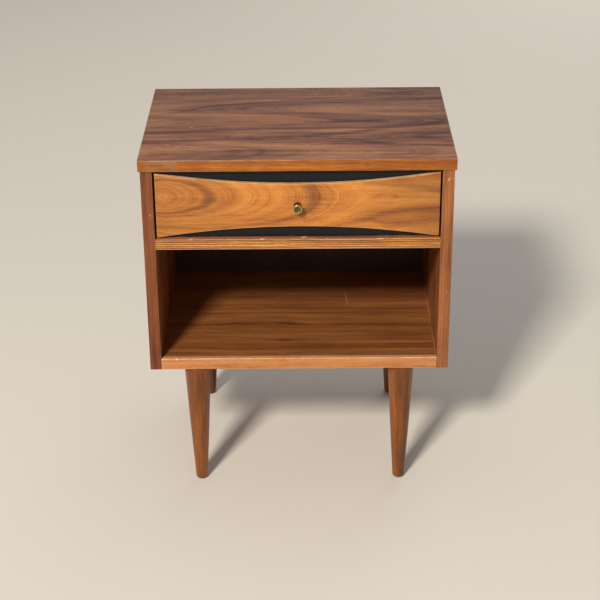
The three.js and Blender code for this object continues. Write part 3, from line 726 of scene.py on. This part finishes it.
def rail_wear(recipe, colour, along, grain, shifted, strands):
    """Close, even dark stripes that drift a little, a pinkish bloom on top where the drawer rubs, and pale chips."""
    _, _, z = recipe.parts(recipe.place)
    low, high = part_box("divider_rail")
    drift = recipe.grained(shifted, (9.0, 120.0, 120.0), detail=2.0)
    turn = recipe.maths("DIVIDE", recipe.sway(grain, drift, 0.0010), STRIPE)
    wave = recipe.maths("SINE", recipe.times(turn, 2 * math.pi))
    wave = recipe.sway(wave, strands, 0.4)
    colour = recipe.mix(recipe.step(wave, -0.5, 0.5), colour, (0.37, 0.30, 0.23), "MULTIPLY")
    lower = recipe.step(z, low.z + 0.0010, low.z + 0.0022, 0.7, 0.0)
    colour = recipe.mix(lower, colour, rgb("d29a78"))
    upper = recipe.step(z, high.z - 0.0012, high.z - 0.0004)
    flecks = recipe.grained(recipe.place, (60.0, 200.0, 200.0), detail=2.0)
    colour = recipe.tint(colour, upper, 0.7, "8d5644")
    return recipe.mix(recipe.times(upper, recipe.step(flecks, 0.66, 0.74)), colour, rgb("dcb596"))


rail_wood = timber("striped_rail", "xzy", RAIL_TONES, seed=5.1, ring=0.0029, wander=0.0014, band=0.22, line=0.30,
                   steady=1.0, fibre=0.20, blotch=0.1, pores=0.6, sharp=1.5, spacing=2.5,
                   edge=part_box("divider_rail"), edge_tone=rgb("e6c59a"), edge_width=0.001, edge_amount=0.4,
                   extra=rail_wear, jag=0.0002, coarse=1.6)

leg_wood = timber("walnut_leg", "zxy", LEG_TONES, seed=6.8, ring=0.0045, wander=0.004, band=0.28, line=0.14,
                  fibre=0.30, blotch=0.2, gloss=0.38, coat=0.2, coarse=1.4)


def plain_wood(name, axes, **grain):
    return timber(name, axes, MAPLE_TONES, line=0.1, fibre=0.12, blotch=0.12, pores=0.15, gloss=0.6, coat=0.0,
                  **grain)


maple_across = plain_wood("plain_wood_across", "xzy", seed=1.1, ring=0.006, wander=0.004, band=0.14)
maple_deep = plain_wood("plain_wood_deep", "yzx", seed=2.3, ring=0.006, wander=0.004, band=0.14)
maple_flat = plain_wood("plain_wood_flat", "xyz", seed=4.7, ring=0.009, wander=0.012, band=0.16)
core_wood = timber("core_board", "xyz", CORE_TONES, seed=2.2, ring=0.007, wander=0.006, band=0.2, fibre=0.3,
                   gloss=0.7, coat=0.0)


def painted():
    """Thin black paint over the drawer front, brushed along, with the wood's grain just showing."""
    recipe = Recipe("black_paint")
    brush = recipe.grained(recipe.place, (9.0, 300.0, 420.0), detail=3.0, roughness=0.6)
    cloud = recipe.grained(recipe.place, (11.0, 20.0, 40.0), detail=3.0)
    tone = recipe.plus(recipe.times(brush, 0.5), recipe.times(cloud, 0.5))
    colour = recipe.ramp(tone, ((0.3, rgb("030506")), (0.55, rgb("080c0f")), (0.75, rgb("12181d"))))
    smear = recipe.vector("DISTANCE", recipe.vector("MULTIPLY", recipe.place, (0.5, 0.0, 1.0)),
                          (0.5 * 46 * MM, 0.0, 480 * MM), out="Value")
    colour = recipe.mix(recipe.step(smear, 0.004, 0.007, 0.8, 0.0), colour, rgb("0b0708"))
    low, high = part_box("drawer_front")
    rub = recipe.grained(recipe.place, (50.0, 90.0, 90.0), detail=3.0, roughness=0.7)
    worn = recipe.times(arris(recipe, low, high, 0.0012), recipe.step(rub, 0.5, 0.62))
    colour = recipe.tint(colour, worn, 0.5, "7a6149")
    inside = recipe.step(recipe.parts(recipe.place)[1], high.y - 0.0004, high.y - 0.0002)
    bare = recipe.ramp(brush, ((0.3, MAPLE_TONES[0]), (0.5, MAPLE_TONES[1]), (0.7, MAPLE_TONES[2])))
    colour = recipe.mix(inside, colour, bare)
    rough = recipe.times_plus(brush, 0.25, 0.36)
    normal = recipe.bump(brush, 0.0002, 0.4)
    return recipe.finish(colour, rough, normal, Specular_IOR_Level=0.3)


WEAVE = 0.0016                   # from thread to thread of the screen mark


def hardboard():
    """Pressed brown board: smooth, mottled and very dark inside, partly its own colour and partly painted shade of
    the closed bay, with a woven screen mark on the rear.
    """
    recipe = Recipe("hardboard")
    mottle = recipe.noise(recipe.place, scale=180.0, detail=4.0, roughness=0.7)
    cloud = recipe.noise(recipe.place, scale=12.0, detail=3.0)
    tone = recipe.plus(recipe.times(mottle, 0.6), recipe.times(cloud, 0.4))
    # painted shade: these inside tones are darker than the board alone, standing in for the shade inside the bay
    colour = recipe.ramp(tone, ((0.3, rgb("2b1a10")), (0.5, rgb("3f2818")), (0.7, rgb("543622"))))
    x, y, z = recipe.parts(recipe.place)
    pitch = 2 * math.pi / WEAVE
    weave = recipe.times(recipe.maths("SINE", recipe.times(x, pitch)),
                         recipe.maths("SINE", recipe.times(z, pitch)))
    rear_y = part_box("back_panel")[1].y
    rear = recipe.step(y, rear_y - 0.0006, rear_y - 0.0002)
    bare = recipe.ramp(tone, ((0.3, rgb("4f3422")), (0.5, rgb("6d4930")), (0.7, rgb("875d3f"))))
    colour = recipe.mix(rear, colour, bare)
    relief = recipe.plus(recipe.times(mottle, 0.3),
                          recipe.times(recipe.times(weave, rear), 0.5))
    colour = recipe.mix(recipe.times(recipe.times_plus(weave, 0.5, 0.5),
                                     recipe.times(rear, 0.35)), colour, rgb("2e1c11"))
    rough = recipe.times_plus(mottle, 0.2, 0.6)
    return recipe.finish(colour, rough, recipe.bump(relief, 0.0003, 0.5))


TOOL_MARK = 0.00055              # from groove to groove left by the lathe


def aged_brass():
    """Lacquer gone thin over brass: greenish brown in the dished face, a warm pale rim that is partly polished by
    handling and partly a painted highlight, and a painted brown reflection of the wood on the neck.
    """
    recipe = Recipe("aged_brass")
    low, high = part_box("knob")
    spots = recipe.noise(recipe.place, scale=420.0, detail=4.0, roughness=0.65)
    cloud = recipe.noise(recipe.place, scale=120.0, detail=3.0)
    tone = recipe.plus(recipe.times(spots, 0.45), recipe.times(cloud, 0.55))
    colour = recipe.ramp(tone, ((0.36, rgb("554623")), (0.5, rgb("8b7846")), (0.64, rgb("b5a16a"))))
    x, y, z = recipe.parts(recipe.place)
    middle = (low + high) / 2
    off = recipe.vector("LENGTH", recipe.combine(x, 0.0, recipe.less(z, middle.z)), out="Value")
    lathe = recipe.maths("SINE", recipe.times(off, 2 * math.pi / TOOL_MARK))
    waist = recipe.fall(off, 0.0060, 0.0068)
    on_face = recipe.fall(y, low.y + 0.001, low.y + 0.0016)
    dish = recipe.times(on_face, recipe.fall(off, 0.0048, 0.0056))
    colour = recipe.tint(colour, dish, 0.65, "4c4630")
    # painted highlight: the outer ring of the face is lightened, partly for polish from handling and partly for the
    # bright ring light makes on its rounded edge
    rim_polish_and_highlight = recipe.times(on_face, recipe.step(off, 0.0054, 0.0064))
    colour = recipe.tint(colour, rim_polish_and_highlight, 0.6, "d9c48c")
    # painted reflection: the neck is darkened to brown, standing in for the wood it mirrors
    neck_wood_reflection = recipe.times(waist, recipe.step(y, low.y + 0.003, low.y + 0.006))
    colour = recipe.tint(colour, neck_wood_reflection, 0.6, "5d4527")
    rough = recipe.plus(recipe.spread(tone, -0.07), 0.30)
    rough = recipe.times_plus(dish, 0.14, rough)
    normal = recipe.bump(recipe.times_plus(lathe, 0.12, spots), 0.00008, 0.5)
    return recipe.finish(colour, rough, normal, Metallic=1.0)


def steel(name, tones, rough_from=0.3):
    recipe = Recipe(name)
    spots = recipe.noise(recipe.place, scale=600.0, detail=4.0, roughness=0.7)
    cloud = recipe.noise(recipe.place, scale=90.0, detail=2.0)
    tone = recipe.plus(recipe.times(spots, 0.6), recipe.times(cloud, 0.4))
    colour = recipe.ramp(tone, ((0.3, tones[0]), (0.5, tones[1]), (0.7, tones[2])))
    rough = recipe.times_plus(spots, 0.3, rough_from)
    return recipe.finish(colour, rough, recipe.bump(spots, 0.00006, 0.4), Metallic=1.0)


paint = painted()
pressed_board = hardboard()
brass = aged_brass()
plain_steel = steel("plain_steel", tones_of("6f7173 96989b b5b7b9"))
dull_steel = steel("dull_steel", tones_of("4a4845 6e6c69 8b8985"), 0.42)


# ---------------------------------------------------------------- top

def from_node(name, node, width, segments=3, test=lambda a, b: True):
    low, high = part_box(node)
    piece = block(name, low, high)
    ease(piece, width, segments, test)
    smooth(piece)
    return piece


def outer_arris(a, b):
    """Edges on the outside of the top board."""
    sides_x = abs(abs(a.x) - TOP_BOX[1].x) < 1e-5 and abs(abs(b.x) - TOP_BOX[1].x) < 1e-5
    front_y = abs(a.y - TOP_BOX[0].y) < 1e-5 and abs(b.y - TOP_BOX[0].y) < 1e-5
    return sides_x or front_y


top_sheet = from_node("top_sheet", "top_veneer", 0.25 * MM, 2)
fit(top_sheet, "case", "top_veneer", top_wood, "top_veneer")

front_lip = from_node("top_front_lip", "top_edging_front", 0.7 * MM, 3, outer_arris)
fit(front_lip, "case", "edging", lip_wood, "top_edging_front")
for side in ("left", "right"):
    end_lip = from_node(f"top_end_lip_{side}", f"top_edging_{side}", 0.6 * MM, 3, outer_arris)
    fit(end_lip, "case", "edging", end_lip_wood, f"top_edging_{side}")

# ---------------------------------------------------------------- case

for side in ("left", "right"):
    strip = from_node(f"side_strip_{side}", f"side_edging_{side}", 0.8 * MM, 3)
    fit(strip, "case", "side_edging", side_lip_wood[side], f"side_edging_{side}")

divider_lip = from_node("divider_lip", "divider_rail", 1.0 * MM, 3)
fit(divider_lip, "case", "rail", rail_wood, "divider_rail")
shelf_lip = from_node("shelf_lip", "shelf_edging", 1.0 * MM, 3)
fit(shelf_lip, "case", "shelf_edging", shelf_lip_wood, "shelf_edging")

# Round-headed tacks that hold the back
back_low, back_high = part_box("back_panel")
TACK = turned("tack_pattern", [(0.6 * MM, 1.0 * MM), (1.4 * MM, 0.9 * MM), (2.2 * MM, 0.6 * MM), (2.6 * MM, 0.2 * MM),
                               (2.6 * MM, 0), (0.7 * MM, 0), (0.6 * MM, -3 * MM)], sides=20)
TACK.rotation_euler = (math.radians(-90), 0, 0)
set_in_place(TACK)
inset = 4 * MM
rows = [back_low.z + 9 * MM + i * (back_high.z - back_low.z - 18 * MM) / 4 for i in range(5)]
columns = [back_low.x + inset + i * (back_high.x - back_low.x - 2 * inset) / 4 for i in range(5)]
spots = [(x, z) for x in (columns[0], columns[-1]) for z in rows]
spots += [(x, rows[0]) for x in columns[1:-1]]
divider_z = sum(v.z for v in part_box("divider_board")) / 2
spots += [(x, divider_z) for x in columns[1:-1]]
tacks = [copy_of(TACK, f"tack_{i}", (x, back_high.y, z)) for i, (x, z) in enumerate(spots)]
bpy.data.objects.remove(TACK)
clear_selection()
for tack in tacks:
    tack.select_set(True)
bpy.context.view_layer.objects.active = tacks[0]
bpy.ops.object.join()
back_tacks = bpy.context.object
back_tacks.name = "back_tacks"
smooth(back_tacks)
fit(back_tacks, "case", "steel", dull_steel)

# ---------------------------------------------------------------- legs

case_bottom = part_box("leg_front_left")[1].z
foot_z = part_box("leg_front_left")[0].z
LEG_TOP_R = 22.2 * MM
LEG_FOOT_R = 10.2 * MM


def leg_profile():
    rings = [(LEG_FOOT_R - 2.0 * MM, foot_z), (LEG_FOOT_R - 1.2 * MM, foot_z + 0.15 * MM),
             (LEG_FOOT_R - 0.5 * MM, foot_z + 0.55 * MM), (LEG_FOOT_R - 0.1 * MM, foot_z + 1.2 * MM),
             (LEG_FOOT_R + 0.05 * MM, foot_z + 2.0 * MM)]
    low, high = foot_z + 4 * MM, case_bottom - 3.0 * MM
    for i in range(13):
        t = i / 12
        # the taper is very slightly full in the middle, as a turned leg is
        full = 0.35 * MM * math.sin(math.pi * t)
        rings.append((LEG_FOOT_R + (LEG_TOP_R - LEG_FOOT_R) * t + full, low + (high - low) * t))
    rings += [(LEG_TOP_R - 0.1 * MM, case_bottom - 2.0 * MM), (LEG_TOP_R - 0.6 * MM, case_bottom - 1.0 * MM),
              (LEG_TOP_R - 1.4 * MM, case_bottom - 0.3 * MM), (LEG_TOP_R - 2.4 * MM, case_bottom)]
    return rings


leg_pattern = turned("leg_pattern", leg_profile(), sides=96)
glide_pattern = turned("glide_pattern", [(2.0 * MM, 0.0), (6.0 * MM, 0.0), (7.2 * MM, 0.35 * MM),
                                         (7.8 * MM, 0.9 * MM), (8.0 * MM, 1.6 * MM), (8.0 * MM, foot_z),
                                         (2.0 * MM, foot_z)], sides=64)
for place in ("front_left", "front_right", "rear_left", "rear_right"):
    low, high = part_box(f"leg_{place}")
    shift = ((low.x + high.x) / 2, (low.y + high.y) / 2, 0)
    leg = copy_of(leg_pattern, f"turned_leg_{place}", shift)
    smooth(leg)
    fit(leg, "case", "leg", leg_wood, f"leg_{place}")
    glide = copy_of(glide_pattern, f"foot_glide_{place}", shift)
    smooth(glide)
    fit(glide, "case", "steel", dull_steel, f"leg_glide_{place}")
bpy.data.objects.remove(leg_pattern)
bpy.data.objects.remove(glide_pattern)

# ---------------------------------------------------------------- drawer

spare = Vector((0, 0, 5 * MM))
face = block("drawer_face", FACE_LOW - spare, FACE_HIGH + spare)
for centre_z in (UPPER_ARC_Z, LOWER_ARC_Z):
    clear_selection()
    bpy.ops.mesh.primitive_cylinder_add(vertices=900, radius=ARC, depth=40 * MM, end_fill_type="NGON",
                                        location=(0, (FACE_LOW.y + FACE_HIGH.y) / 2, centre_z),
                                        rotation=(math.radians(90), 0, 0))
    saw = bpy.context.object
    set_in_place(saw)
    cut_with(face, saw)
ease(face, 3 * MM, 4, lambda a, b: abs(a.y - b.y) > 1 * MM and abs(a.x) > FACE_HIGH.x - 1e-5 and a.z < eye_z)
ease(face, 0.7 * MM, 3, lambda a, b: a.y < FACE_LOW.y + 1e-5 and b.y < FACE_LOW.y + 1e-5)
recalculate(face)
smooth(face, 30)
fit(face, "drawer", "drawer_face", face_wood, "drawer_overlay")

knob_low, knob_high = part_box("knob")
knob_z = (knob_low.z + knob_high.z) / 2
KNOB_RINGS = [(0.8, 17.3), (4.2, 17.3), (4.9, 17.45), (5.5, 17.8), (6.2, 18.0), (6.8, 17.9), (7.2, 17.6), (7.4, 17.1),
              (7.4, 15.0), (7.2, 14.2), (6.8, 13.4), (6.3, 12.2), (5.95, 10.8), (5.7, 9.0), (5.55, 7.0), (5.5, 5.0),
              (5.5, 3.2), (5.7, 2.2), (6.1, 1.5), (6.3, 0.9), (6.3, 0.0), (2.4, 0.0), (2.4, 3.0)]
knob = turned("knob_turned", [(r * MM, h * MM) for r, h in reversed(KNOB_RINGS)], sides=72)
knob.rotation_euler = (math.radians(90), 0, 0)
knob.location = (0, knob_high.y, knob_z)
set_in_place(knob)
smooth(knob, 40)
fit(knob, "drawer", "brass", brass, "knob")

screw_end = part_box("knob_screw")[1].y
SCREW_RINGS = [(1.0, -28.0), (2.0, -27.0), (2.0, 0.0), (4.0, 0.0), (4.0, 0.9), (3.7, 1.5), (3.0, 2.1), (2.0, 2.45),
               (0.8, 2.6)]
screw = turned("knob_screw_slotted", [(r * MM, h * MM) for r, h in SCREW_RINGS], sides=48)
screw.rotation_euler = (math.radians(-90), 0, 0)
screw.location = (0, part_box("knob_washer")[1].y, knob_z)
set_in_place(screw)
slot_tool = block("slot_tool", (-5 * MM, screw_end - 1.3 * MM, knob_z - 0.55 * MM),
                  (5 * MM, screw_end + 1 * MM, knob_z + 0.55 * MM))
cut_with(screw, slot_tool)
recalculate(screw)
smooth(screw, 35)
fit(screw, "drawer", "steel", plain_steel, "knob_screw")


# ---------------------------------------------------------------- finishes on the plain boards

PLACES = ("front_left", "front_right", "rear_left", "rear_right")
FINISHES = (
    (side_wood["left"], ["side_left"]),
    (side_wood["right"], ["side_right"]),
    (core_wood, ["top_core"]),
    (shelf_wood, ["shelf_board"]),
    (pressed_board, ["back_panel"]),
    (paint, ["drawer_front"]),
    (maple_flat, ["divider_board", "drawer_bottom"]),
    (maple_deep, ["drawer_side_left", "drawer_side_right", "drawer_guide_rail", "drawer_kicker"]),
    (maple_across, ["drawer_stop_left", "drawer_stop_right", "drawer_back", "drawer_rear_guide"]),
    (plain_steel, ["knob_washer"] + [f"leg_{kind}_{place}" for kind in ("bolt", "insert") for place in PLACES]),
)
for material, names in FINISHES:
    for name in names:
        for material_slot in nodes[name].material_slots:
            material_slot.material = material

# ---------------------------------------------------------------- floor, camera and light

clear_selection()
bpy.ops.mesh.primitive_plane_add(size=14, location=(0, 2.0, -0.0002))
floor = bpy.context.object
floor.name = "studio_floor"
pale = Recipe("pale_floor")
floor.data.materials.append(pale.finish(Base_Color=(*rgb("d8cfc1"), 1), Roughness=0.9))

CAMERA_BEHIND = 2324.6 * MM      # from the front of the top board
CAMERA_HEIGHT = 1502.0 * MM
CAMERA_RIGHT = 11.5 * MM
LOOK_DOWN = 26.167
LOOK_LEFT = 0.221
TILT = -0.488
camera_data = bpy.data.cameras.new("camera")
camera_data.sensor_width = 36
camera_data.lens = 94.13
camera_data.clip_end = 60
camera = bpy.data.objects.new("camera", camera_data)
bpy.context.scene.collection.objects.link(camera)
camera.location = (CAMERA_RIGHT, FRONT - CAMERA_BEHIND, CAMERA_HEIGHT)
aim = Euler((math.radians(90 - LOOK_DOWN), 0, math.radians(LOOK_LEFT))).to_matrix()
camera.rotation_euler = (aim @ Matrix.Rotation(math.radians(TILT), 3, "Z")).to_euler()
bpy.context.scene.camera = camera


AIM_AT = Vector((0, 0, 0.35))
KEY_FROM = Vector((-0.30, -0.74, 0.605)).normalized()
KEY_AWAY = 8.0
# name, place, breadth, watts, colour
LAMPS = (
    ("key", AIM_AT + KEY_FROM * KEY_AWAY, 1.1, 700, (1.0, 0.965, 0.90)),
    ("fill", Vector((2.6, -4.6, 2.6)), 2.4, 9, (0.93, 0.96, 1.0)),
    ("rear", Vector((1.6, 3.8, 1.7)), 2.4, 32, (0.97, 0.98, 1.0)),
    ("overhead", Vector((0.2, 1.2, 4.2)), 3.0, 27, (0.95, 0.97, 1.0)),
)
for name, place, breadth, watts, colour in LAMPS:
    light = bpy.data.lights.new(name, "AREA")
    light.shape = "RECTANGLE"
    light.size = light.size_y = breadth
    light.energy = watts
    light.color = colour
    lamp = bpy.data.objects.new(name, light)
    bpy.context.scene.collection.objects.link(lamp)
    lamp.location = place
    lamp.rotation_euler = (AIM_AT - place).to_track_quat("-Z", "Y").to_euler()
    lamp.visible_glossy = name != "rear"     # the rear lamp lights without a shine
world = bpy.data.worlds.new("studio")
world.use_nodes = True
bpy.context.scene.world = world
world.node_tree.nodes["Background"].inputs["Color"].default_value = (0.92, 0.95, 1.0, 1)
world.node_tree.nodes["Background"].inputs["Strength"].default_value = 0.25
bpy.context.scene.view_settings.view_transform = "Standard"
